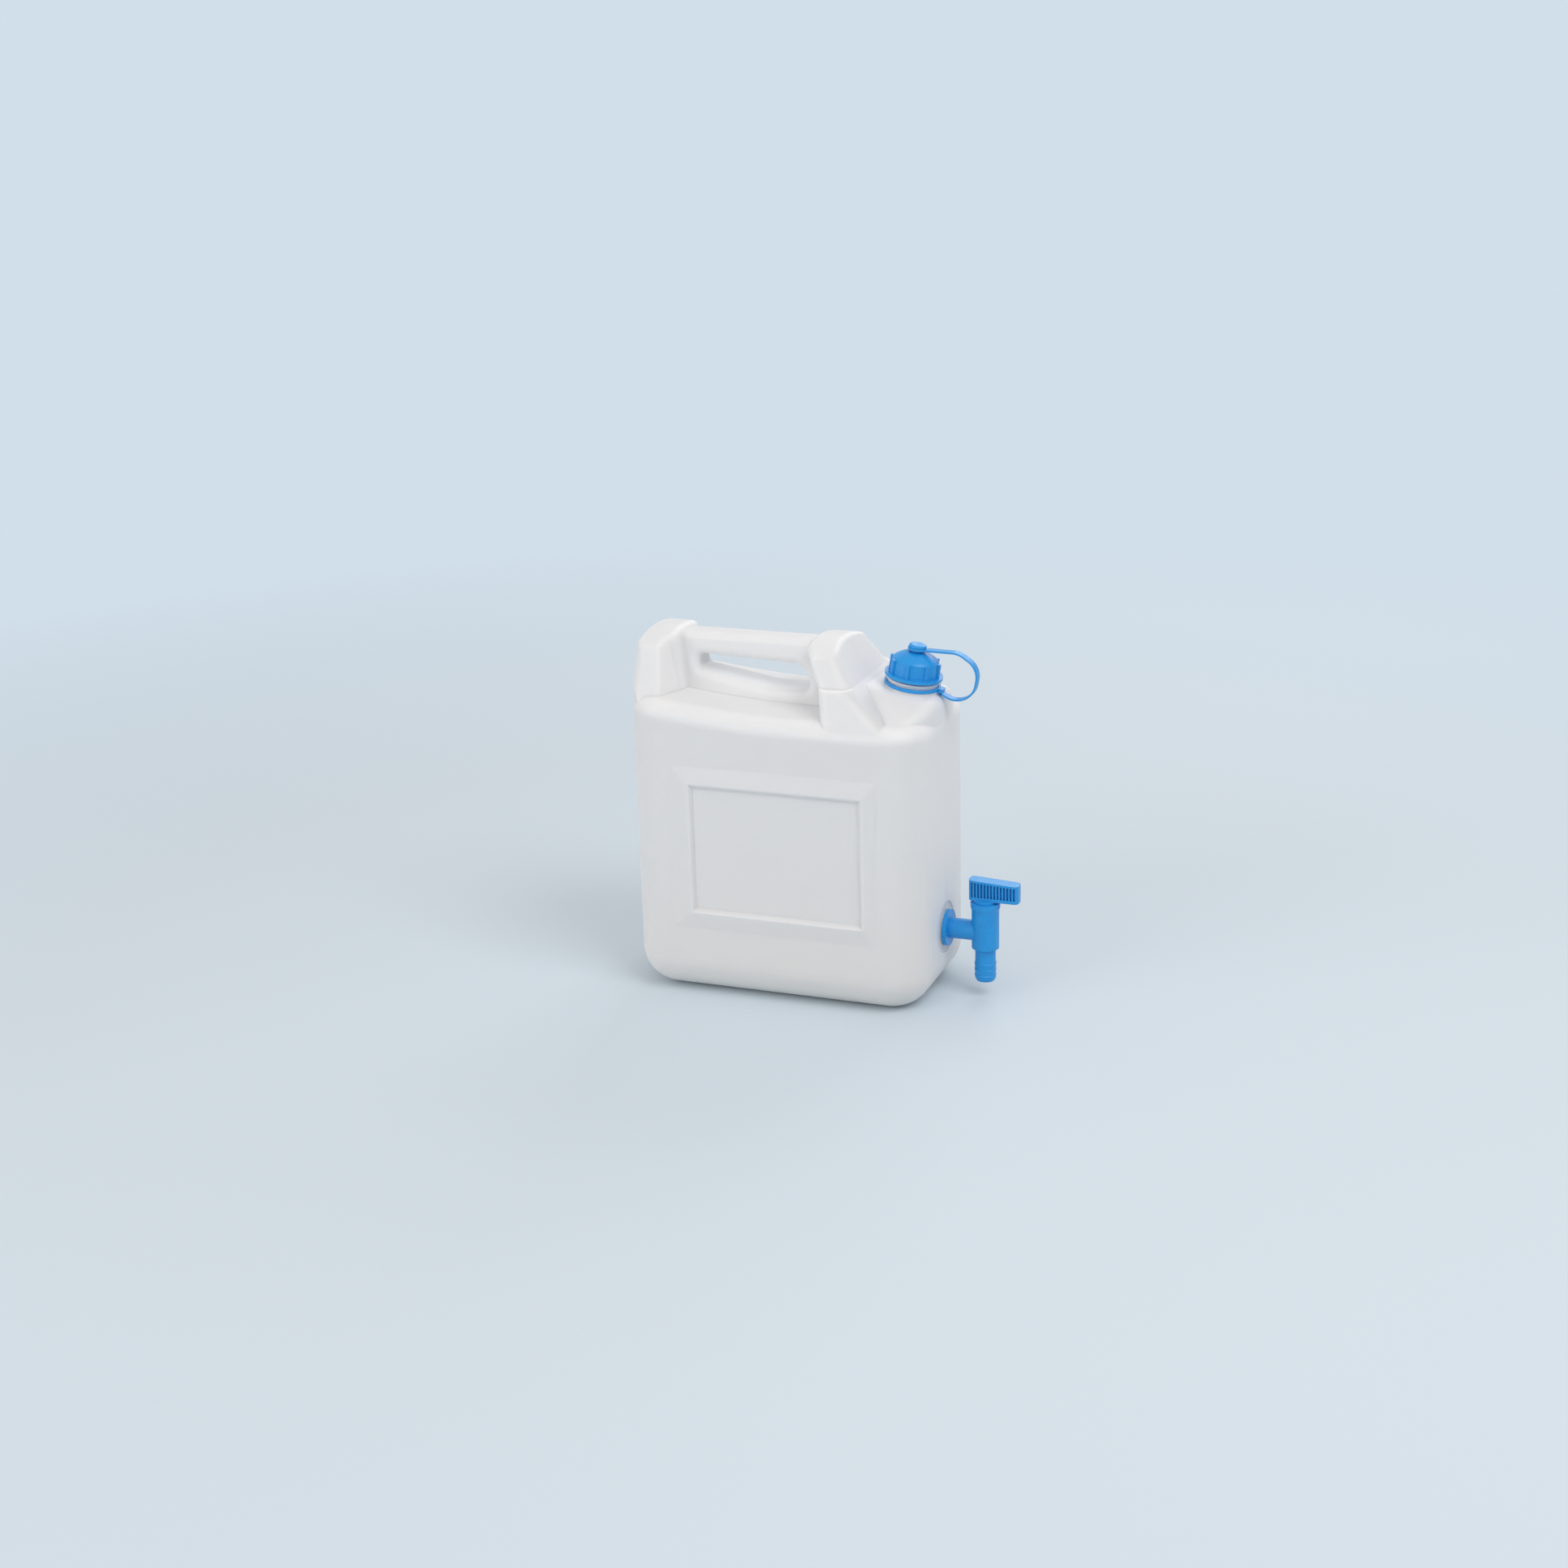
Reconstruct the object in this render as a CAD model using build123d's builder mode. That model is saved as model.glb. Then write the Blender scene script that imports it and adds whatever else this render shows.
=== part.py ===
from build123d import *
from math import cos, hypot, radians, sin, tan
import os

os.makedirs("parts", exist_ok=True)

# Canister: a blow-moulded tank, X runs from the rear to the tap, the origin is under its middle
tank_length = 272.0
tank_width = 152.0
tank_corner_radius = 37.0
heel_radius = 34.0
wall = 1.8
shoulder_height = 261.0
shoulder_radius = 15.0
shoulder_rise = 14.0
shoulder_rise_start = 30.0

# Push-up in the underside, which leaves a rim to stand on
push_up_depth = 2.5
push_up_rim = 7.0
push_up_corner = 14.0

# Framed panel on both big faces
panel_length = 159.0
panel_height = 118.0
panel_shift = 5.7
panel_middle_height = 139.0
panel_foot_length = 190.0
panel_foot_height = 150.0
panel_foot_shift = 3.2
panel_floor_depth = 0.5
panel_frame_depth = 2.2
panel_step_width = 3.6

# Deck under the neck, a hipped form that leans with the neck
neck_lean = 8.8
neck_place = 106.6
deck_height = 278.5
deck_back = 60.0
deck_flat_half_width = 25.0
deck_eave_half_width = 70.0
deck_eave_height = 256.2
deck_root_height = 242.0
deck_corner_radius = 60.0
deck_edge_radius = 10.0
deck_hip_radius = 20.0
deck_step = 0.5

# Posts at both ends of the handle
post_root_height = 240.0
post_crown_height = 320.0
post_edge_height = 310.0
post_edge_half_width = 45.0
post_side_lean = 0.42
post_corner_radius = 12.0
post_top_radius = 6.0
rear_pocket_radius = 7.0
front_pocket_radius = 9.0
post_nose_radius = 16.0
post_nose_half_width = 28.0
post_column_radius = 41.0
rear_post_back = -134.0
rear_post_front = -104.0
rear_post_lean = 0.16
front_post_back = 41.0
front_post_lean = 0.46
front_post_front = 68.5
front_slope_lean = 0.65
pocket_draft = 10.0

# Skirt round the foot of the front post, a step wider
skirt_root_height = 252.0
skirt_top_height = 287.0
skirt_step = 5.0
skirt_back = 42.5
skirt_back_lean = 0.17
skirt_slope_lean = 1.3
skirt_top_radius = 2.0

# Handle bar and the slab that joins it to the tank
bar_top_height = 317.0
bar_top_half_width = 13.0
slab_lean = 0.15
slab_bury = 5.0
bar_edge_radius = 7.0

# Hand slot through the slab
slot_rear = -86.0
slot_front = 18.0
slot_top_rear = 297.8
slot_top_front = 294.0
slot_floor_front = 272.5
slot_floor_rear = 284.5
slot_floor_bend = -20.0
slot_front_radius = 16.0
slot_bend_radius = 40.0
slot_small_radius = 5.0
slot_lip_radius = 7.0
slab_blend_radius = 4.0

# Neck, square to the leaning deck
neck_collar_radius = 22.0
neck_collar_height = 8.2
neck_bead_radius = 22.9
neck_bead_height = 1.6
neck_radius = 16.6
neck_rim_round = 0.6
mouth_radius = 14.2

# Screw cap
cap_flange_radius = 25.2
cap_flange_height = 2.6
cap_flange_place = 10.3
cap_wall_radius = 20.2
cap_wall_thickness = 2.0
cap_rim_height = 26.7
cap_top_thickness = 2.3
cap_draft = 0.6
cap_rim_round = 1.6
cap_dome_rise = 5.6
cap_dome_bulge = 0.8
cap_hub_radius = 6.6
cap_rib_count = 8
cap_rib_width = 3.4
cap_rib_depth = 2.5
cap_rib_round = 1.1
cap_rib_top = 25.2
cap_stem_radius = 4.7
cap_head_radius = 7.7
cap_head_height = 2.3
cap_head_place = 36.3
liner_thickness = 1.6
liner_clearance = 0.2

# Strap: a ring round the collar, a flat band and an eyelet round the stem of the cap
ring_outer_radius = 24.6
ring_height = 2.9
ring_place = 2.0
ring_clearance = 0.2
ring_step_radius = 24.0
band_width = 8.5
band_thickness = 1.6
eyelet_radius = 8.4
eyelet_thickness = 2.0
eyelet_clearance = 0.2
band_root_length = 4.0
band_deck_gap = 0.4
band_end = 7.0
band_end_height = 35.1
band_top = 37.0
band_top_height = 39.3
band_bulge = 56.5
band_bulge_height = 30.0
band_turn = 56.0
band_turn_height = 5.0
band_low = 40.0
band_low_height = -3.5
band_root = 24.0
band_bend_radius = 17.0

# Tap: one moulding with flange, threaded spigot, stub, barrel and hose tail
tap_height = 60.3
tap_seat_depth = 0.8
tap_seat_radius = 23.0
tap_boss_radius = 16.5
tap_boss_length = 9.0
tap_flange_radius = 16.2
tap_flange_thickness = 3.6
tap_spigot_radius = 11.8
tap_spigot_length = 14.0
tap_spigot_clearance = 0.08
tap_gasket_thickness = 1.2
tap_gasket_inset = 1.6
tap_stub_radius = 9.1
tap_bore_radius = 5.5
barrel_reach = 36.0
barrel_radius = 12.1
barrel_top = 88.0
barrel_bottom = 45.5
collar_radius = 13.1
collar_height = 4.2
collar_taper = 3.4
tail_radius = 9.1
tail_bottom = 15.0
tail_shoulder = 1.8
tail_wall = 2.4
barb_count = 3
barb_pitch = 5.6
barb_height = 0.6
barb_end = 2.0

# Key: the plug that turns in the barrel and its lever, one moulding
plug_radius = 8.6
plug_clearance = 0.06
plug_floor = 50.0
plug_wall = 2.2
plug_window_radius = 5.0
plug_lift = 0.3
key_neck_radius = 10.4
key_neck_height = 2.4
lever_back = -14.0
lever_front = 31.0
lever_half_width = 6.6
lever_bottom_plate = 2.8
lever_top_plate = 2.0
lever_height = 18.6
lever_fall = 2.6
lever_groove_count = 14
lever_groove_width = 1.7
lever_groove_depth = 2.4
lever_end_radius = 4.0


neck_height = cap_rim_height - cap_top_thickness - liner_thickness
neck_axis = Vector(sin(radians(neck_lean)), 0, cos(radians(neck_lean)))
deck_fall = tan(radians(neck_lean))
neck_plane = Plane(
    origin=(neck_place, 0, deck_height),
    x_dir=(cos(radians(neck_lean)), 0, -sin(radians(neck_lean))),
    z_dir=neck_axis,
)


def neck_level(height):
    """Plane square to the neck, at a height above the deck."""
    return neck_plane.offset(height)


def panel_plane(side, reach):
    """Plane of a big face, at a reach from the middle, its X along the canister."""
    return Plane(origin=(0, side * reach, 0), x_dir=(-side, 0, 0), z_dir=(0, side, 0))


def panel_rectangle(side, reach, shift, length, height):
    with BuildSketch(panel_plane(side, reach)) as sketch:
        with Locations((-side * shift, panel_middle_height)):
            Rectangle(length, height)
    return sketch.sketch


def panel_swell(side, inset):
    """Gentle slopes that rise to the ridge round the panel, begun below the face."""
    face = tank_width / 2 - inset
    bury = 1 / panel_frame_depth
    shift = panel_foot_shift + (panel_foot_shift - panel_shift) * bury
    length = panel_foot_length + (panel_foot_length - panel_length) * bury
    height = panel_foot_height + (panel_foot_height - panel_height) * bury
    with BuildPart() as swell:
        add(panel_rectangle(side, face - 1, shift, length, height))
        add(panel_rectangle(side, face + panel_frame_depth, panel_shift, panel_length, panel_height))
        loft(ruled=True)
    return swell.part


def panel_floor(side, inset):
    """Sunken middle of the panel, with sloping steps."""
    face = tank_width / 2 - inset
    depth = panel_frame_depth + panel_floor_depth
    slope = panel_step_width / depth
    floor = face - panel_floor_depth
    with BuildPart() as sunk:
        for reach in (floor, face + panel_frame_depth + 1):
            grow = 2 * slope * (reach - floor) - 2 * panel_step_width
            length = panel_length + grow
            height = panel_height + grow
            add(panel_rectangle(side, reach, panel_shift, length, height))
        loft(ruled=True)
    return sunk.part


def tank_form(inset):
    """Rounded tank up to the shoulder, with every side moved in by the inset."""
    half_length = tank_length / 2
    top = shoulder_height - inset
    with BuildPart() as tank:
        with BuildSketch(Plane.XY.offset(inset)):
            RectangleRounded(
                tank_length - 2 * inset, tank_width - 2 * inset, tank_corner_radius - inset
            )
        extrude(amount=top + shoulder_rise)
        fillet(tank.edges().group_by(Axis.Z)[0], heel_radius - inset)
        with BuildSketch(Plane.XZ):
            with BuildLine():
                level = Line((half_length + 1, top), (shoulder_rise_start, top))
                rise = TangentArc(
                    (shoulder_rise_start, top),
                    (-half_length - 1, top + shoulder_rise),
                    tangent=(-1, 0),
                )
                Polyline(rise @ 1, (-half_length - 1, 0), (half_length + 1, 0), level @ 0)
            make_face()
        extrude(amount=tank_width, both=True, mode=Mode.INTERSECT)
        rim = tank.edges().filter_by(
            lambda edge: edge.bounding_box().min.Z > top - 0.1
            and edge.bounding_box().size.Y + edge.bounding_box().size.X > 20
        )
        rim = rim.filter_by(lambda edge: abs(edge.center().X - shoulder_rise_start) > 1)
        fillet(rim, shoulder_radius - inset / 2)
        for side in (-1, 1):
            add(panel_swell(side, inset))
            add(panel_floor(side, inset), mode=Mode.SUBTRACT)
    return tank.part


def deck_form(inset):
    """Hipped deck that carries the neck."""
    front = tank_length / 2 - inset
    with BuildPart() as deck:
        for place in (deck_back, front):
            top = deck_height - (place - neck_place) * deck_fall - inset
            with BuildSketch(Plane.YZ.offset(place)):
                with BuildLine():
                    Polyline(
                        (-deck_eave_half_width, deck_root_height),
                        (-deck_eave_half_width, deck_eave_height - inset),
                        (-deck_flat_half_width, top),
                        (deck_flat_half_width, top),
                        (deck_eave_half_width, deck_eave_height - inset),
                        (deck_eave_half_width, deck_root_height),
                        close=True,
                    )
                make_face()
        loft(ruled=True)
        with BuildSketch(Plane.XY.offset(deck_root_height - 1)):
            RectangleRounded(
                tank_length - 2 * deck_step - 2 * inset,
                tank_width - 2 * deck_step - 2 * inset,
                deck_corner_radius - inset,
            )
        extrude(amount=deck_height, mode=Mode.INTERSECT)
        hips = deck.edges().filter_by(
            lambda edge: edge.bounding_box().size.X > 60 and edge.bounding_box().min.Z > 265
        )
        fillet(hips, deck_hip_radius)
        front_edges = deck.edges().filter_by(
            lambda edge: edge.bounding_box().min.X > deck_back + 20
            and edge.bounding_box().max.Z > deck_eave_height + 2
            and edge.bounding_box().size.Z < 15
            and edge.bounding_box().size.Y > 3
        )
        fillet(front_edges, deck_edge_radius - inset)
    return deck.part


def post_half_width(height):
    """Half width of a post, which leans in towards its top."""
    return post_edge_half_width + (post_edge_height - height) * post_side_lean


def slab_half_width(height):
    """Half thickness of the slab between the two hand pockets."""
    return bar_top_half_width + (bar_top_height - height) * slab_lean


def post_section(height, back, front, half_width, pocket_side, inset):
    """Plan section of a post, rounded outside and drafted towards the hand pocket."""
    nose = post_nose_half_width
    draft_place = front + pocket_draft if pocket_side > 0 else back - pocket_draft
    pocket_edge = front if pocket_side > 0 else back
    far_edge = back if pocket_side > 0 else front
    with BuildSketch(Plane.XY.offset(height)) as section:
        with BuildLine():
            Polyline(
                (far_edge, -half_width),
                (pocket_edge, -half_width),
                (draft_place, -nose),
                (draft_place, nose),
                (pocket_edge, half_width),
                (far_edge, half_width),
                close=True,
            )
        make_face()
        corners = section.vertices().filter_by(lambda corner: abs(corner.Y) > nose + 1)
        corners = corners.filter_by(lambda corner: abs(corner.X - far_edge) < 1)
        fillet(corners, post_corner_radius - inset)
        corners = section.vertices().filter_by(lambda corner: abs(corner.X - pocket_edge) < 0.1)
        pocket_radius = rear_pocket_radius if pocket_side > 0 else front_pocket_radius
        fillet(corners, pocket_radius - inset)
        corners = section.vertices().filter_by(lambda corner: abs(corner.X - draft_place) < 0.1)
        fillet(corners, post_nose_radius)
    return section.sketch


def crown(inset):
    """Everything under the arched top of the posts."""
    half_width = post_half_width(post_root_height) + 5
    fall = (half_width / post_edge_half_width) ** 2 * (post_crown_height - post_edge_height)
    top = post_crown_height - inset
    with BuildPart() as under:
        with BuildSketch(Plane.YZ.offset(rear_post_back - 5)):
            with BuildLine():
                arch = ThreePointArc((-half_width, top - fall), (0, top), (half_width, top - fall))
                Polyline(arch @ 1, (half_width, 200), (-half_width, 200), arch @ 0)
            make_face()
        extrude(amount=tank_length)
    return under.part


def post_column(inset):
    """Upright column on the tank's plan, which keeps the posts inside its corners."""
    with BuildPart() as column:
        with BuildSketch(Plane.XY.offset(post_root_height - 1)):
            RectangleRounded(
                tank_length - 2 * inset,
                tank_width - 2 * inset,
                post_column_radius - inset,
            )
        extrude(amount=post_crown_height)
    return column.part


def post(levels, inset):
    """Post through its plan sections, under the arched crown, with a rounded top edge."""
    with BuildPart() as solid:
        for level in levels:
            add(level)
        loft(ruled=True)
        add(post_column(inset), mode=Mode.INTERSECT)
        add(crown(inset), mode=Mode.INTERSECT)
        top = solid.edges().filter_by(
            lambda edge: edge.bounding_box().min.Z > post_edge_height - 12
            and edge.bounding_box().size.Z < 12
        )
        fillet(top, post_top_radius - inset)
    return solid.part


def side_inset(inset):
    """Inset along Y of a leaning post side."""
    return inset * hypot(1, post_side_lean)


def rear_post(inset):
    levels = []
    for height in (post_root_height, post_crown_height + 6):
        front = rear_post_front - (height - shoulder_height) * rear_post_lean - inset
        half_width = post_half_width(height) - side_inset(inset)
        levels.append(post_section(height, rear_post_back + inset, front, half_width, 1, inset))
    return post(levels, inset)


def front_post(inset):
    levels = []
    for height in (post_root_height, post_crown_height + 6):
        rise = height - skirt_top_height
        back = front_post_back - rise * front_post_lean + inset
        front = front_post_front - rise * front_slope_lean - inset
        half_width = post_half_width(height) - side_inset(inset)
        levels.append(post_section(height, back, front, half_width, -1, inset))
    return post(levels, inset)


def front_skirt(inset):
    """Wider foot of the front post."""
    with BuildPart() as skirt:
        for height in (skirt_root_height, skirt_top_height - inset):
            rise = height - skirt_top_height
            back = skirt_back - rise * skirt_back_lean + inset
            front = front_post_front - rise * skirt_slope_lean - inset
            half_width = post_half_width(height) + skirt_step - side_inset(inset)
            add(post_section(height, back, front, half_width, -1, inset))
        loft(ruled=True)
        fillet(skirt.faces().sort_by(Axis.Z)[-1].edges(), skirt_top_radius)
    return skirt.part


def handle_slab(inset):
    """Slab between the posts with the rounded bar on top and the hand slot through it."""
    rear = rear_post_back + 2 * post_corner_radius
    with BuildPart() as slab:
        with BuildSketch(Plane.YZ.offset(rear)):
            with BuildLine():
                low = slab_half_width(post_root_height) - inset
                high = slab_half_width(bar_top_height) - inset
                Polyline(
                    (-low, post_root_height),
                    (-high, bar_top_height - inset),
                    (high, bar_top_height - inset),
                    (low, post_root_height),
                    close=True,
                )
            make_face()
        extrude(amount=front_post_back + slab_bury - rear)
        fillet(slab.edges().filter_by(Axis.X).group_by(Axis.Z)[-1], bar_edge_radius - inset)
        with BuildSketch(Plane.XZ) as slot:
            with BuildLine():
                Polyline(
                    (slot_rear, slot_top_rear),
                    (slot_front, slot_top_front),
                    (slot_front, slot_floor_front),
                    (slot_floor_bend, slot_floor_front),
                    (slot_rear, slot_floor_rear),
                    close=True,
                )
            make_face()
            bend = slot.vertices().filter_by(lambda corner: abs(corner.X - slot_floor_bend) < 0.1)
            fillet(bend, slot_bend_radius)
            nose = slot.vertices().sort_by(Axis.X)[-2:].sort_by(Axis.Y)
            fillet(nose[-1], slot_front_radius)
            fillet(slot.vertices().sort_by(Axis.X)[-1], slot_small_radius)
            fillet(slot.vertices().sort_by(Axis.X)[:2], slot_small_radius)
            if inset > 0:
                offset(amount=inset)
        extrude(amount=tank_width, both=True, mode=Mode.SUBTRACT)
        lips = slab.edges().filter_by(
            lambda edge: edge.bounding_box().min.X > slot_rear - 3
            and edge.bounding_box().max.X < slot_front + 3
            and abs(edge.center().Y) > bar_top_half_width - inset
            and edge.bounding_box().max.Z < slot_top_rear + 3
        )
        fillet(lips, slot_lip_radius - inset)
    return slab.part


def handle_form(inset):
    """Both posts and the slab, with a hollow blend where the slab meets the rear post."""
    with BuildPart() as handle:
        add(rear_post(inset))
        add(front_post(inset))
        add(handle_slab(inset))
        roots = handle.edges().filter_by(
            lambda edge: edge.bounding_box().min.X > rear_post_front - 3
            and edge.bounding_box().max.X < slot_rear - 3
            and edge.bounding_box().max.Y < 25
            and edge.bounding_box().min.Y > -25
            and not (edge.length > 70 and abs(edge.center().Y) > 21)
        )
        fillet(roots, slab_blend_radius + inset)
    return handle.part


def outer_form(inset):
    """Everything that is blown in one piece, up to the deck."""
    with BuildPart() as form:
        add(tank_form(inset))
        add(deck_form(inset))
        add(front_skirt(inset))
        add(handle_form(inset))
    return form.part


def push_up(grow):
    """Block taken out of the underside, and the larger one kept clear inside."""
    with BuildPart() as block:
        with BuildSketch(Plane.XY.offset(-1)):
            side = 2 * (heel_radius + push_up_rim - grow)
            RectangleRounded(tank_length - side, tank_width - side, push_up_corner + grow)
        extrude(amount=push_up_depth + grow + 1)
    return block.part


def neck_disc(radius, low, high):
    """Cylinder on the neck axis between two heights above the deck."""
    with BuildPart() as disc:
        with BuildSketch(neck_level(low)):
            Circle(radius)
        extrude(amount=high - low)
    return disc.part


def tap_disc(radius, low, high):
    """Cylinder on the inlet axis of the tap between two places along X."""
    with BuildPart() as disc:
        with BuildSketch(Plane.YZ.offset(low)):
            with Locations((0, tap_height)):
                Circle(radius)
        extrude(amount=high - low)
    return disc.part


def neck_outside():
    """Collar with its step and bead, and the tube that carries the thread."""
    with BuildPart() as neck:
        add(neck_disc(neck_collar_radius, -4, neck_collar_height))
        add(neck_disc(ring_step_radius, -4, ring_place))
        add(neck_disc(neck_bead_radius, neck_collar_height - neck_bead_height, neck_collar_height))
        add(neck_disc(neck_radius, 0, neck_height))
        fillet(neck.edges().sort_by(Axis(neck_plane.origin, neck_axis))[-1], neck_rim_round)
    return neck.part


front_face = tank_length / 2
seat_place = front_face - tap_seat_depth
spigot_bore_radius = tap_spigot_radius + tap_spigot_clearance


def hollow():
    """Space inside the canister, up to the mouth and round the tap boss."""
    with BuildPart() as space:
        add(outer_form(wall))
        add(push_up(wall), mode=Mode.SUBTRACT)
        add(neck_disc(neck_collar_radius - wall, -6, neck_collar_height - wall))
        add(neck_disc(mouth_radius, -6, neck_height + 1))
        add(tap_disc(tap_boss_radius, seat_place - tap_boss_length, front_face), mode=Mode.SUBTRACT)
    return space.part


# Hollow canister with neck, handle and tap boss
with BuildPart() as canister_body:
    add(outer_form(0))
    add(push_up(0), mode=Mode.SUBTRACT)
    add(tap_disc(tap_seat_radius, seat_place, front_face + 5), mode=Mode.SUBTRACT)
    add(neck_outside())
    add(hollow(), mode=Mode.SUBTRACT)
    add(tap_disc(spigot_bore_radius, seat_place - tap_boss_length - 5, front_face), mode=Mode.SUBTRACT)
canister_body.part.label = "canister_body"
export_step(canister_body.part, "parts/canister_body.step")


# Screw cap with flange, ribs, domed top and the button that holds the strap
section_plane = Plane(origin=neck_plane.origin, x_dir=neck_plane.x_dir, z_dir=(0, -1, 0))
cap_dome_top = cap_rim_height + cap_dome_rise
cap_head_top = cap_head_place + cap_head_height
cap_flange_top = cap_flange_place + cap_flange_height
cap_inner_radius = cap_wall_radius - cap_wall_thickness
cap_ceiling = cap_rim_height - cap_top_thickness
cap_shoulder = cap_wall_radius - cap_rim_round
dome_middle = (cap_shoulder + cap_hub_radius) / 2
dome_hollow = cap_shoulder - 2 * cap_wall_thickness - cap_rim_round
with BuildPart() as screw_cap:
    with BuildSketch(section_plane):
        with BuildLine():
            dome = Spline(
                (cap_shoulder, cap_rim_height),
                (dome_middle, cap_rim_height + cap_dome_rise / 2 + cap_dome_bulge),
                (cap_hub_radius, cap_dome_top),
            )
            head = Spline(
                (cap_head_radius, cap_head_place + cap_head_height / 3),
                (0, cap_head_top),
                tangents=[(0, 1), (-1, 0)],
            )
            under = Spline(
                (0, cap_dome_top - cap_top_thickness),
                (dome_hollow / 2, cap_ceiling + cap_dome_rise / 2 + cap_dome_bulge),
                (dome_hollow, cap_ceiling),
                tangents=[(1, 0), (1, -1)],
            )
            Polyline(
                under @ 1,
                (cap_inner_radius, cap_ceiling),
                (cap_inner_radius, cap_flange_place),
                (cap_flange_radius, cap_flange_place),
                (cap_flange_radius, cap_flange_top),
                (cap_wall_radius + cap_draft, cap_flange_top),
                (cap_wall_radius, cap_rim_height - cap_rim_round),
                dome @ 0,
            )
            Polyline(
                dome @ 1,
                (cap_stem_radius, cap_dome_top),
                (cap_stem_radius, cap_head_place),
                (cap_head_radius, cap_head_place),
                head @ 0,
            )
            Line(head @ 1, under @ 0)
        make_face()
    revolve(axis=Axis(neck_plane.origin, neck_axis))
    with BuildSketch(neck_level(cap_flange_top - 0.5)):
        with PolarLocations(cap_wall_radius + (cap_rib_depth - cap_wall_thickness) / 2, cap_rib_count):
            RectangleRounded(cap_rib_depth + cap_wall_thickness, cap_rib_width, cap_rib_round)
    extrude(amount=cap_rib_top - cap_flange_top + 0.5)
screw_cap.part.label = "screw_cap"
export_step(screw_cap.part, "parts/screw_cap.step")

# Sealing disc under the top of the cap
cap_gasket = neck_disc(cap_inner_radius - liner_clearance, neck_height, cap_ceiling)
cap_gasket.label = "cap_gasket"
export_step(cap_gasket, "parts/cap_gasket.step")

# Strap that keeps the cap on the canister
ring_inner_radius = neck_collar_radius + ring_clearance
ring_top = ring_place + ring_height
eyelet_top = cap_head_place - eyelet_clearance
with BuildPart() as retaining_strap:
    with BuildSketch(neck_level(band_deck_gap)):
        with Locations((band_root + band_root_length / 2 + 0.4, 0)):
            Rectangle(band_root_length, band_width)
    extrude(amount=ring_top - band_deck_gap)
    with BuildSketch(section_plane):
        with BuildLine():
            FilletPolyline(
                (band_end, band_end_height),
                (band_top, band_top_height),
                (band_bulge, band_bulge_height),
                (band_turn, band_turn_height),
                (band_low, band_low_height),
                (band_root + band_root_length / 2, band_deck_gap + band_thickness / 2),
                radius=band_bend_radius,
            )
        trace(line_width=band_thickness)
    extrude(amount=band_width / 2, both=True)
    with BuildSketch(neck_level(ring_place)):
        Circle(ring_outer_radius)
    extrude(amount=ring_height)
    with BuildSketch(neck_level(ring_place - 2)):
        Circle(ring_inner_radius)
    extrude(amount=ring_height + 4, mode=Mode.SUBTRACT)
    with BuildSketch(neck_level(eyelet_top - eyelet_thickness)):
        Circle(eyelet_radius)
    extrude(amount=eyelet_thickness)
    with BuildSketch(neck_level(eyelet_top - eyelet_thickness - 3)):
        Circle(cap_stem_radius + eyelet_clearance)
    extrude(amount=eyelet_thickness + 6, mode=Mode.SUBTRACT)
retaining_strap.part.label = "retaining_strap"
export_step(retaining_strap.part, "parts/retaining_strap.step")

# Flat washer between the tap's flange and the canister
flange_back = seat_place + tap_gasket_thickness
flange_front = flange_back + tap_flange_thickness
with BuildPart() as tap_gasket:
    add(tap_disc(tap_flange_radius - tap_gasket_inset, seat_place, flange_back))
    add(tap_disc(spigot_bore_radius, seat_place - 1, flange_back + 1), mode=Mode.SUBTRACT)
tap_gasket.part.label = "tap_gasket"
export_step(tap_gasket.part, "parts/tap_gasket.step")

# Tap body
barrel_place = front_face + barrel_reach
barrel_plane = Plane(origin=(barrel_place, 0, 0))
barrel_section = Plane(origin=(barrel_place, 0, 0), x_dir=(1, 0, 0), z_dir=(0, -1, 0))
barrel_axis = Axis((barrel_place, 0, 0), (0, 0, 1))
barrel_bore_radius = plug_radius + plug_clearance
tail_bore_radius = tail_radius - tail_wall
with BuildPart() as tap_body:
    add(tap_disc(tap_spigot_radius, flange_back - tap_spigot_length, flange_back))
    add(tap_disc(tap_flange_radius, flange_back, flange_front))
    add(tap_disc(tap_stub_radius, flange_front - 1, barrel_place))
    with BuildSketch(barrel_section):
        with BuildLine():
            profile = [
                (0, tail_bottom),
                (tail_radius - barb_end / 2, tail_bottom),
                (tail_radius, tail_bottom + barb_end),
            ]
            for count in range(barb_count):
                low = tail_bottom + barb_end + (count + 0.6) * barb_pitch
                profile.append((tail_radius + barb_height, low))
                profile.append((tail_radius, low + 0.5))
            profile += [
                (tail_radius, barrel_bottom - tail_shoulder),
                (barrel_radius, barrel_bottom),
                (barrel_radius, barrel_top - collar_height - collar_taper),
                (collar_radius, barrel_top - collar_height),
                (collar_radius, barrel_top),
                (0, barrel_top),
            ]
            Polyline(profile, close=True)
        make_face()
    revolve(axis=barrel_axis)
    with BuildSketch(barrel_plane.offset(tail_bottom - 1)):
        Circle(tail_bore_radius)
    extrude(amount=plug_floor + 2 - tail_bottom, mode=Mode.SUBTRACT)
    with BuildSketch(barrel_plane.offset(plug_floor)):
        Circle(barrel_bore_radius)
    extrude(amount=barrel_top - plug_floor + 1, mode=Mode.SUBTRACT)
    add(tap_disc(tap_bore_radius, flange_back - tap_spigot_length - 1, barrel_place), mode=Mode.SUBTRACT)
tap_body.part.label = "tap_body"
export_step(tap_body.part, "parts/tap_body.step")

# Key: hollow plug with a side window, round neck and grooved lever
lever_bottom = barrel_top + key_neck_height
lever_top = lever_bottom + lever_height
lever_slope = lever_fall / (lever_front - lever_back)
groove_pitch = (lever_front - lever_back - lever_end_radius) / lever_groove_count


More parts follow.
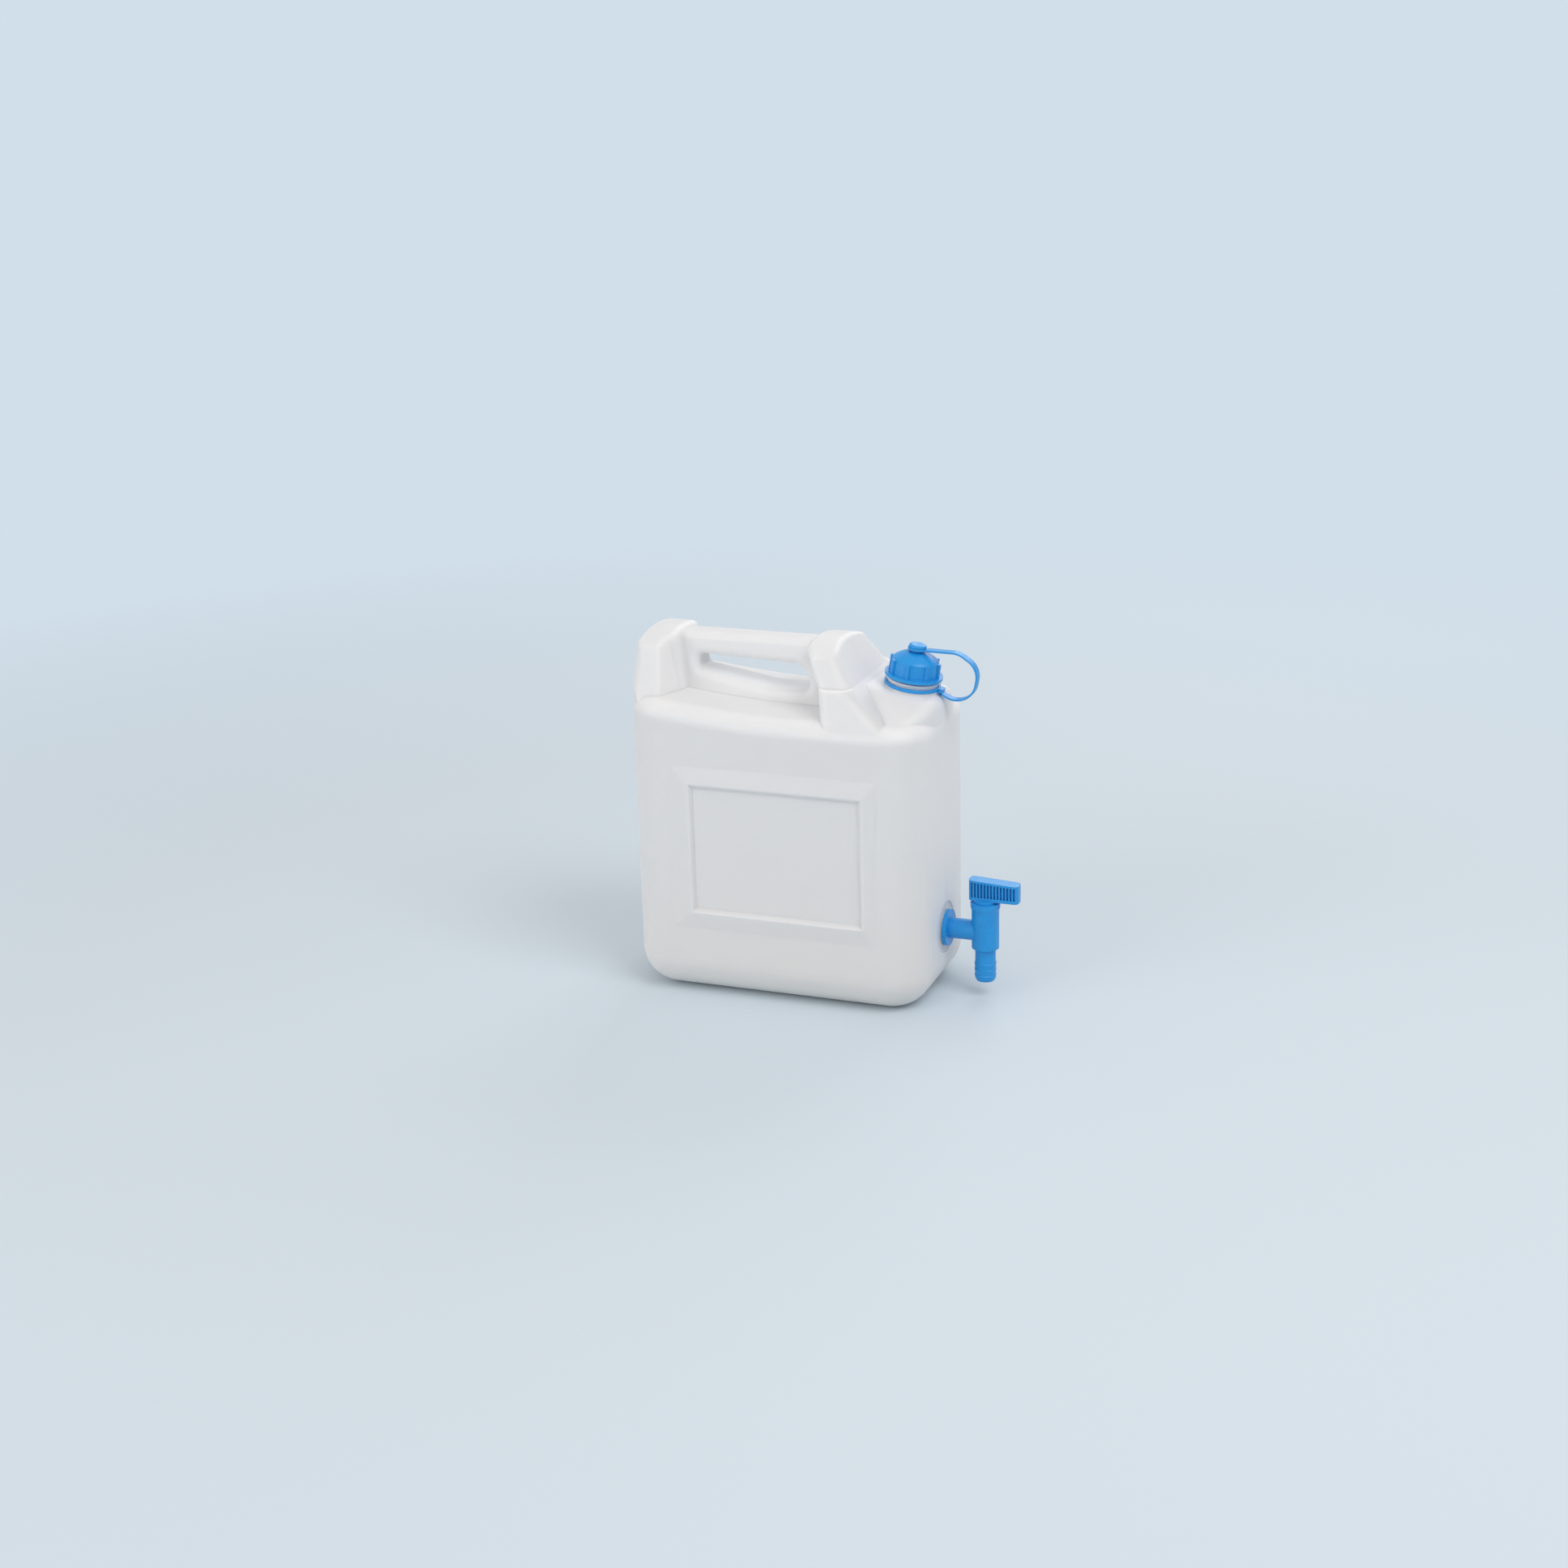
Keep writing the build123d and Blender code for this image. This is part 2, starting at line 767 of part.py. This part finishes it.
def lever_grooves():
    """Upright grooves in both sides of the lever, between its two plates."""
    with BuildPart() as grooves:
        with BuildSketch(barrel_plane.offset(lever_bottom)):
            for side in (-1, 1):
                for count in range(lever_groove_count):
                    place = lever_back + lever_end_radius / 2 + (count + 0.5) * groove_pitch
                    with Locations((place, side * lever_half_width)):
                        Rectangle(lever_groove_width, 2 * lever_groove_depth)
        extrude(amount=lever_height)
        with BuildSketch(barrel_section):
            with BuildLine():
                core_top = lever_top - lever_top_plate
                Polyline(
                    (lever_back - 1, lever_bottom + lever_bottom_plate),
                    (lever_back - 1, core_top + lever_slope),
                    (lever_front + 1, core_top - lever_fall - lever_slope),
                    (lever_front + 1, lever_bottom + lever_bottom_plate),
                    close=True,
                )
            make_face()
        extrude(amount=2 * lever_half_width, both=True, mode=Mode.INTERSECT)
    return grooves.part


with BuildPart() as tap_key:
    with BuildSketch(barrel_section):
        with BuildLine():
            Polyline(
                (lever_back, lever_bottom),
                (lever_back, lever_top),
                (lever_front, lever_top - lever_fall),
                (lever_front, lever_bottom),
                close=True,
            )
        make_face()
    extrude(amount=lever_half_width, both=True)
    corners = tap_key.edges().filter_by(Axis.Z)
    fillet(corners, lever_end_radius)
    add(lever_grooves(), mode=Mode.SUBTRACT)
    with BuildSketch(barrel_plane.offset(barrel_top)):
        Circle(key_neck_radius)
    extrude(amount=key_neck_height)
    with BuildSketch(barrel_plane.offset(plug_floor + plug_lift)):
        Circle(plug_radius)
    extrude(amount=lever_bottom - plug_floor - plug_lift)
    with BuildSketch(barrel_plane.offset(plug_floor + plug_lift - 1)):
        Circle(plug_radius - plug_wall)
    extrude(amount=barrel_top - plug_floor - 4, mode=Mode.SUBTRACT)
    add(tap_disc(plug_window_radius, barrel_place - barrel_radius, barrel_place), mode=Mode.SUBTRACT)
tap_key.part.label = "tap_key"
export_step(tap_key.part, "parts/tap_key.step")
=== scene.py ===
from math import atan2, cos, pi, radians, sin, tan

import bpy
from mathutils import Matrix, Vector


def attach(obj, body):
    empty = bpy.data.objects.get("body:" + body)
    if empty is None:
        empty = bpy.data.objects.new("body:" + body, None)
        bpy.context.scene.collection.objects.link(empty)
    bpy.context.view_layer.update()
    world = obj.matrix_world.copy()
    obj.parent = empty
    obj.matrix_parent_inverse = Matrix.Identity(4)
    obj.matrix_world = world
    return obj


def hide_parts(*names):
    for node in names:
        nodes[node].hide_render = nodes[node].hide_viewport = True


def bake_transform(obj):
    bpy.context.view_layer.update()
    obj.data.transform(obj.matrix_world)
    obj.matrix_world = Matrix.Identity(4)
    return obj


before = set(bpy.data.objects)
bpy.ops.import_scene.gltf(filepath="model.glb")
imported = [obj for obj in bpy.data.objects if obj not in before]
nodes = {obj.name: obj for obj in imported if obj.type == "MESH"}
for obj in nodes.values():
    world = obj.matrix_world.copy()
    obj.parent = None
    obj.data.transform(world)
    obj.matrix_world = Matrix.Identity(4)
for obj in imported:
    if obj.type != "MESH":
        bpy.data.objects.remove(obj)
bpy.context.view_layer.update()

# Camera, at the photograph's place, with its lens in pixels of the photograph
VIEW_TURN = radians(20.88)
VIEW_RISE = radians(18.5)
VIEW_ROLL = radians(1.47)
VIEW_REACH = 2.288
AIM = Vector((0, 0, 0.1628))
PHOTO_SIDE = 1932
PHOTO_FOCAL_LENGTH = 3172
PHOTO_CENTRE_ACROSS = 984.8
PHOTO_CENTRE_DOWN = 989.7
SENSOR_WIDTH = 36

# Neck, as in the solids: heights are in millimetres above the deck, along its leaning axis
MM = 0.001
NECK_LEAN = radians(8.8)
NECK_FOOT = Vector((106.6, 0, 278.5)) * MM
NECK_UP = Vector((sin(NECK_LEAN), 0, cos(NECK_LEAN)))
NECK_OUT = Vector((cos(NECK_LEAN), 0, -sin(NECK_LEAN)))
NECK_SIDE = Vector((0, 1, 0))

# Threads of the neck and the cap, in millimetres: a tenth of each fades in and a tenth fades out
THREAD_PITCH = 6.0
THREAD_START_ANGLE = 0.6
THREAD_FADE_SLOPE = 10
THREAD_STEPS = 160
NECK_THREAD = dict(root=16.45, crest=17.7, root_width=2.6, crest_width=1.2, low=10.6, turns=1.6)
CAP_THREAD = dict(root=18.35, crest=17.1, root_width=2.2, crest_width=1.0, low=13.6, turns=1.3)

# Strap, in millimetres: the band's corners are (out, height), as in the solid
BAND_CORNERS = [(7, 35.1), (37, 39.3), (56.5, 30), (56, 5), (40, -3.5), (26, 1.2)]
BAND_BEND_RADIUS = 17
BAND_STEP = 1.5
BAND_HALF_WIDTH = 4.25
BAND_HALF_THICKNESS = 0.8
STRAP_EDGE = 0.35
RING = dict(inner=22.2, outer=24.6, low=2.0, high=4.9, edge=STRAP_EDGE)
EYELET = dict(inner=4.9, outer=8.4, low=34.1, high=36.1, edge=0.3)
BAND_ROOT_LOW = (24.4, -BAND_HALF_WIDTH, 0.4)
BAND_ROOT_HIGH = (28.4, BAND_HALF_WIDTH, 4.9)
RING_STEPS = 72

# Stage
FLOOR_SIZE = 40
FLOOR_NEAR = 0.7
FLOOR_FAR = 1.8
AMBIENT_COLOUR = (1.0, 0.955, 0.925, 1)
AMBIENT_STRENGTH = 0.68


def srgb(red, green, blue):
    """Linear colour from 0-255 values as seen on a screen."""
    out = []
    for value in (red, green, blue):
        v = value / 255
        out.append(v / 12.92 if v <= 0.04045 else ((v + 0.055) / 1.055) ** 2.4)
    return (*out, 1.0)


BACKDROP_COLOUR = srgb(209, 223, 234)
FLOOR_COLOUR = srgb(200, 213, 223)


def place_camera():
    back = Vector((sin(VIEW_TURN) * cos(VIEW_RISE), -cos(VIEW_TURN) * cos(VIEW_RISE), sin(VIEW_RISE)))
    right = Vector((cos(VIEW_TURN), sin(VIEW_TURN), 0))
    up = back.cross(right)
    side = right * cos(VIEW_ROLL) - up * sin(VIEW_ROLL)
    top = up * cos(VIEW_ROLL) + right * sin(VIEW_ROLL)
    data = bpy.data.cameras.new("camera")
    data.sensor_width = SENSOR_WIDTH
    data.lens = PHOTO_FOCAL_LENGTH / PHOTO_SIDE * SENSOR_WIDTH
    data.shift_x = (PHOTO_SIDE / 2 - PHOTO_CENTRE_ACROSS) / PHOTO_SIDE
    data.shift_y = (PHOTO_CENTRE_DOWN - PHOTO_SIDE / 2) / PHOTO_SIDE
    data.clip_start = 0.05
    data.clip_end = 50
    camera = bpy.data.objects.new("camera", data)
    bpy.context.scene.collection.objects.link(camera)
    turned = Matrix((side, top, back)).transposed().to_4x4()
    camera.matrix_world = Matrix.Translation(AIM + back * VIEW_REACH) @ turned
    bpy.context.scene.camera = camera


place_camera()


# Node helpers
def new_material(name):
    material = bpy.data.materials.new(name)
    material.use_nodes = True
    return material, material.node_tree, material.node_tree.nodes["Principled BSDF"]


def object_place(tree):
    return tree.nodes.new("ShaderNodeTexCoord").outputs["Object"]


def noise(tree, place, scale, detail):
    node = tree.nodes.new("ShaderNodeTexNoise")
    node.inputs["Scale"].default_value = scale
    node.inputs["Detail"].default_value = detail
    tree.links.new(place, node.inputs["Vector"])
    return node.outputs["Fac"]


def span(tree, value, low, high, to_low, to_high):
    """Value taken from one range to another."""
    node = tree.nodes.new("ShaderNodeMapRange")
    ends = {"From Min": low, "From Max": high, "To Min": to_low, "To Max": to_high}
    for socket, number in ends.items():
        node.inputs[socket].default_value = number
    tree.links.new(value, node.inputs["Value"])
    return node.outputs["Result"]


def tint(tree, factor, first, second):
    node = tree.nodes.new("ShaderNodeMix")
    node.data_type = "RGBA"
    node.inputs[6].default_value = first
    node.inputs[7].default_value = second
    tree.links.new(factor, node.inputs[0])
    return node.outputs[2]


def softened(tree, radius):
    """Normal that rounds the edges of the mesh."""
    node = tree.nodes.new("ShaderNodeBevel")
    node.samples = 8
    node.inputs["Radius"].default_value = radius
    return node.outputs["Normal"]


def bump(tree, height, distance, strength, normal):
    node = tree.nodes.new("ShaderNodeBump")
    node.inputs["Distance"].default_value = distance
    node.inputs["Strength"].default_value = strength
    tree.links.new(height, node.inputs["Height"])
    tree.links.new(normal, node.inputs["Normal"])
    return node.outputs["Normal"]


def calculate(tree, operation, *values):
    node = tree.nodes.new("ShaderNodeMath")
    node.operation = operation
    for socket, value in zip(node.inputs, values):
        if isinstance(value, (int, float)):
            socket.default_value = value
        else:
            tree.links.new(value, socket)
    return node.outputs[0]


def seen_directly(tree):
    """1 for rays from the camera, a reflection or through glass, which see the plain backdrop."""
    paths = tree.nodes.new("ShaderNodeLightPath").outputs
    direct = calculate(tree, "MAXIMUM", paths["Is Camera Ray"], paths["Is Glossy Ray"])
    return calculate(tree, "MAXIMUM", direct, paths["Is Transmission Ray"])


def canister_material():
    """Natural polyethylene: milky, lets light in, warmer low down, with a mould seam."""
    material, tree, shader = new_material("polyethylene")
    place = object_place(tree)
    axes = tree.nodes.new("ShaderNodeSeparateXYZ")
    tree.links.new(place, axes.inputs[0])

    cloudy = noise(tree, place, scale=14, detail=3)
    low = span(tree, axes.outputs["Z"], 0.0, 0.16, 1.0, 0.0)
    warm = calculate(tree, "MULTIPLY_ADD", cloudy, 0.25, calculate(tree, "MULTIPLY", low, 0.75))
    colour = tint(tree, warm, srgb(238, 240, 243), srgb(234, 230, 224))
    tree.links.new(colour, shader.inputs["Base Color"])
    shader.inputs["Subsurface Weight"].default_value = 0.85
    shader.inputs["Subsurface Radius"].default_value = (1.0, 0.95, 0.9)
    shader.inputs["Subsurface Scale"].default_value = 0.006
    shader.inputs["IOR"].default_value = 1.5
    satin = span(tree, noise(tree, place, scale=60, detail=4), 0.3, 0.7, 0.38, 0.50)
    tree.links.new(satin, shader.inputs["Roughness"])

    seam_reach = calculate(tree, "ABSOLUTE", axes.outputs["Y"])
    seam = span(tree, seam_reach, 0.0002, 0.0007, 1.0, 0.0)
    waves = noise(tree, place, scale=22, detail=2)
    grain = noise(tree, place, scale=900, detail=2)
    normal = softened(tree, radius=0.0025)
    normal = bump(tree, waves, distance=0.0012, strength=0.25, normal=normal)
    normal = bump(tree, grain, distance=0.00005, strength=0.5, normal=normal)
    normal = bump(tree, seam, distance=0.0003, strength=0.8, normal=normal)
    tree.links.new(normal, shader.inputs["Normal"])
    return material


def blue_material():
    """Blue moulded plastic of the cap, the strap and the tap."""
    material, tree, shader = new_material("blue_plastic")
    place = object_place(tree)
    cloudy = noise(tree, place, scale=90, detail=3)
    colour = tint(tree, cloudy, srgb(18, 138, 210), srgb(32, 152, 224))
    tree.links.new(colour, shader.inputs["Base Color"])
    gloss = span(tree, noise(tree, place, scale=400, detail=3), 0.3, 0.7, 0.26, 0.40)
    tree.links.new(gloss, shader.inputs["Roughness"])
    shader.inputs["Subsurface Weight"].default_value = 0.15
    shader.inputs["Subsurface Radius"].default_value = (0.3, 0.8, 1.0)
    shader.inputs["Subsurface Scale"].default_value = 0.0015
    shader.inputs["IOR"].default_value = 1.5
    grain = noise(tree, place, scale=260, detail=3)
    normal = softened(tree, radius=0.0005)
    normal = bump(tree, grain, distance=0.0001, strength=0.5, normal=normal)
    tree.links.new(normal, shader.inputs["Normal"])
    return material


def liner_material():
    """Soft, matt sealing material."""
    material, tree, shader = new_material("sealing_disc")
    place = object_place(tree)
    cloudy = noise(tree, place, scale=500, detail=4)
    colour = tint(tree, cloudy, srgb(225, 226, 224), srgb(240, 240, 238))
    tree.links.new(colour, shader.inputs["Base Color"])
    shader.inputs["Roughness"].default_value = 0.65
    grain = noise(tree, place, scale=1500, detail=3)
    normal = bump(tree, grain, distance=0.0001, strength=0.5, normal=softened(tree, radius=0.0003))
    tree.links.new(normal, shader.inputs["Normal"])
    return material


canister_skin = canister_material()
blue = blue_material()
liner = liner_material()

finishes = {
    "canister_body": canister_skin,
    "screw_cap": blue,
    "cap_gasket": liner,
    "retaining_strap": blue,
    "tap_body": blue,
    "tap_key": blue,
    "tap_gasket": liner,
}
for name, material in finishes.items():
    mesh = nodes[name].data
    mesh.materials.clear()
    mesh.materials.append(material)


# Mesh helpers
def neck_point(out, sideways, height):
    """Point from millimetres out from the neck's axis, sideways and up along it."""
    return NECK_FOOT + (NECK_OUT * out + NECK_SIDE * sideways + NECK_UP * height) * MM


def round_neck(radius, angle, height):
    return neck_point(radius * cos(angle), radius * sin(angle), height)


def build(name, points, faces, material, smooth):
    mesh = bpy.data.meshes.new(name)
    mesh.from_pydata([tuple(point) for point in points], [], faces)
    mesh.materials.append(material)
    mesh.validate()
    for polygon in mesh.polygons:
        polygon.use_smooth = smooth
    made = bpy.data.objects.new(name, mesh)
    bpy.context.scene.collection.objects.link(made)
    return made


def joined(*forms):
    points, faces = [], []
    for more_points, more_faces in forms:
        start = len(points)
        points += more_points
        faces += [tuple(start + corner for corner in face) for face in more_faces]
    return points, faces


def skin(rows, sides, closed):
    """Faces between rows of points, each row once round a section."""
    faces = []
    for row in range(rows if closed else rows - 1):
        here, ahead = row * sides, (row + 1) % rows * sides
        for side in range(sides):
            beside = (side + 1) % sides
            faces.append((here + side, here + beside, ahead + beside, ahead + side))
    if not closed:
        last = (rows - 1) * sides
        faces.append(tuple(reversed(range(sides))))
        faces.append(tuple(range(last, last + sides)))
    return faces


def helix(root, crest, root_width, crest_width, low, turns):
    """Thread ridge on the neck's axis that fades in and out at both ends."""
    points = []
    for step in range(THREAD_STEPS + 1):
        share = step / THREAD_STEPS
        angle = 2 * pi * turns * share + THREAD_START_ANGLE
        fade = min(1.0, THREAD_FADE_SLOPE * share, THREAD_FADE_SLOPE * (1 - share))
        reach = root + (crest - root) * fade
        middle = low + THREAD_PITCH * turns * share
        points += [
            round_neck(root, angle, middle - root_width / 2),
            round_neck(reach, angle, middle - crest_width / 2),
            round_neck(reach, angle, middle + crest_width / 2),
            round_neck(root, angle, middle + root_width / 2),
        ]
    return points, skin(THREAD_STEPS + 1, 4, closed=False)


def rounded_ring(inner, outer, low, high, edge):
    """Ring round the neck's axis with its edges taken off."""
    section = [
        (inner, low + edge),
        (inner, high - edge),
        (inner + edge, high),
        (outer - edge, high),
        (outer, high - edge),
        (outer, low + edge),
        (outer - edge, low),
        (inner + edge, low),
    ]
    points = []
    for step in range(RING_STEPS):
        angle = 2 * pi * step / RING_STEPS
        points += [round_neck(radius, angle, height) for radius, height in section]
    return points, skin(RING_STEPS, len(section), closed=True)


def block(low, high):
    """Box between two corners given as (out, sideways, height)."""
    points = []
    for out in (low[0], high[0]):
        for sideways in (low[1], high[1]):
            for height in (low[2], high[2]):
                points.append(neck_point(out, sideways, height))
    faces = [(0, 1, 3, 2), (4, 6, 7, 5), (0, 4, 5, 1), (2, 3, 7, 6), (0, 2, 6, 4), (1, 5, 7, 3)]
    return points, faces


def rounded_path(corners, radius, steps=14):
    """Corner points with every inner corner turned by an arc."""
    corners = [Vector(corner) for corner in corners]
    path = [corners[0]]
    for before, corner, after in zip(corners, corners[1:], corners[2:]):
        come, go = (corner - before).normalized(), (after - corner).normalized()
        turn = come.angle(go)
        reach = radius * tan(turn / 2)
        left = 1 if come.x * go.y - come.y * go.x > 0 else -1
        start = corner - come * reach
        middle = start + Vector((-come.y, come.x)) * radius * left
        first = atan2(start.y - middle.y, start.x - middle.x)
        for step in range(steps + 1):
            angle = first + left * turn * step / steps
            path.append(middle + Vector((cos(angle), sin(angle))) * radius)
    path.append(corners[-1])
    return path


def even_path(path, pitch):
    """The same path with a point about every pitch."""
    out = [path[0]]
    for here, ahead in zip(path, path[1:]):
        parts = max(1, round((ahead - here).length / pitch))
        out += [here.lerp(ahead, part / parts) for part in range(1, parts + 1)]
    return out


def flat_band():
    """Band from the eyelet over to the ring, its section with the edges taken off."""
    wide, thick, edge = BAND_HALF_WIDTH, BAND_HALF_THICKNESS, STRAP_EDGE
    section = [
        (-wide + edge, -thick),
        (wide - edge, -thick),
        (wide, -thick + edge),
        (wide, thick - edge),
        (wide - edge, thick),
        (-wide + edge, thick),
        (-wide, thick - edge),
        (-wide, -thick + edge),
    ]
    line = even_path(rounded_path(BAND_CORNERS, BAND_BEND_RADIUS), BAND_STEP)
    points = []
    for place, point in enumerate(line):
        along = line[min(place + 1, len(line) - 1)] - line[max(place - 1, 0)]
        across = Vector((-along.y, along.x)).normalized()
        for sideways, lift in section:
            spot = point + across * lift
            points.append(neck_point(spot.x, sideways, spot.y))
    return points, skin(len(line), len(section), closed=False)


# Threads
neck_thread = build("neck_thread", *helix(**NECK_THREAD), canister_skin, smooth=True)
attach(neck_thread, "canister")
cap_thread = build("cap_thread", *helix(**CAP_THREAD), blue, smooth=True)
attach(cap_thread, "cap")

# Strap: one mesh of the band, the ring round the neck, the eyelet and the band's root block,
# which takes the place of the model's strap part, hidden below
strap_form = joined(
    flat_band(), rounded_ring(**RING), rounded_ring(**EYELET), block(BAND_ROOT_LOW, BAND_ROOT_HIGH)
)
strap = build("strap", *strap_form, blue, smooth=False)
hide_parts("retaining_strap")
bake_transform(strap)


def floor_material():
    """Matt floor that keeps the shadow near the object and turns into the plain backdrop far off."""
    material, tree, shader = new_material("floor")
    shader.inputs["Base Color"].default_value = FLOOR_COLOUR
    shader.inputs["Roughness"].default_value = 0.9
    reach = tree.nodes.new("ShaderNodeVectorMath")
    reach.operation = "LENGTH"
    tree.links.new(object_place(tree), reach.inputs[0])
    far = span(tree, reach.outputs["Value"], FLOOR_NEAR, FLOOR_FAR, 0.0, 1.0)
    backdrop = tree.nodes.new("ShaderNodeEmission")
    backdrop.inputs["Color"].default_value = BACKDROP_COLOUR
    blend = tree.nodes.new("ShaderNodeMixShader")
    tree.links.new(calculate(tree, "MULTIPLY", far, seen_directly(tree)), blend.inputs[0])
    tree.links.new(shader.outputs[0], blend.inputs[1])
    tree.links.new(backdrop.outputs[0], blend.inputs[2])
    tree.links.new(blend.outputs[0], tree.nodes["Material Output"].inputs["Surface"])
    return material


def surroundings():
    """World that lights softly, and is seen as the plain backdrop."""
    world = bpy.data.worlds.new("surroundings")
    world.use_nodes = True
    tree = world.node_tree
    soft = tree.nodes["Background"]
    soft.inputs["Color"].default_value = AMBIENT_COLOUR
    soft.inputs["Strength"].default_value = AMBIENT_STRENGTH
    seen = tree.nodes.new("ShaderNodeBackground")
    seen.inputs["Color"].default_value = BACKDROP_COLOUR
    seen.inputs["Strength"].default_value = 1.0
    mixed = tree.nodes.new("ShaderNodeMixShader")
    tree.links.new(seen_directly(tree), mixed.inputs[0])
    tree.links.new(soft.outputs[0], mixed.inputs[1])
    tree.links.new(seen.outputs[0], mixed.inputs[2])
    tree.links.new(mixed.outputs[0], tree.nodes["World Output"].inputs["Surface"])
    return world


def lamp(name, place, aim, size, power, colour):
    data = bpy.data.lights.new(name, "AREA")
    data.shape = "SQUARE"
    data.size = size
    data.energy = power
    data.color = colour
    made = bpy.data.objects.new(name, data)
    bpy.context.scene.collection.objects.link(made)
    made.location = place
    made.rotation_mode = "QUATERNION"
    made.rotation_quaternion = (Vector(aim) - Vector(place)).to_track_quat("-Z", "Y")


bpy.ops.mesh.primitive_plane_add(size=FLOOR_SIZE, location=(0, 0, 0))
floor = bpy.context.object
floor.name = "floor"
floor.data.materials.append(floor_material())
bpy.context.scene.world = surroundings()

lamp("key", (1.5, -0.9, 2.2), aim=(0, 0, 0.15), size=1.4, power=26, colour=(1.0, 0.97, 0.95))
lamp("fill", (-1.7, -2.2, 1.1), aim=(0, 0, 0.15), size=1.8, power=22, colour=(1.0, 0.96, 0.93))
lamp("back", (0.2, 2.0, 1.5), aim=(0, 0, 0.2), size=1.4, power=12, colour=(1.0, 0.98, 0.97))

bpy.context.scene.view_settings.view_transform = "Standard"
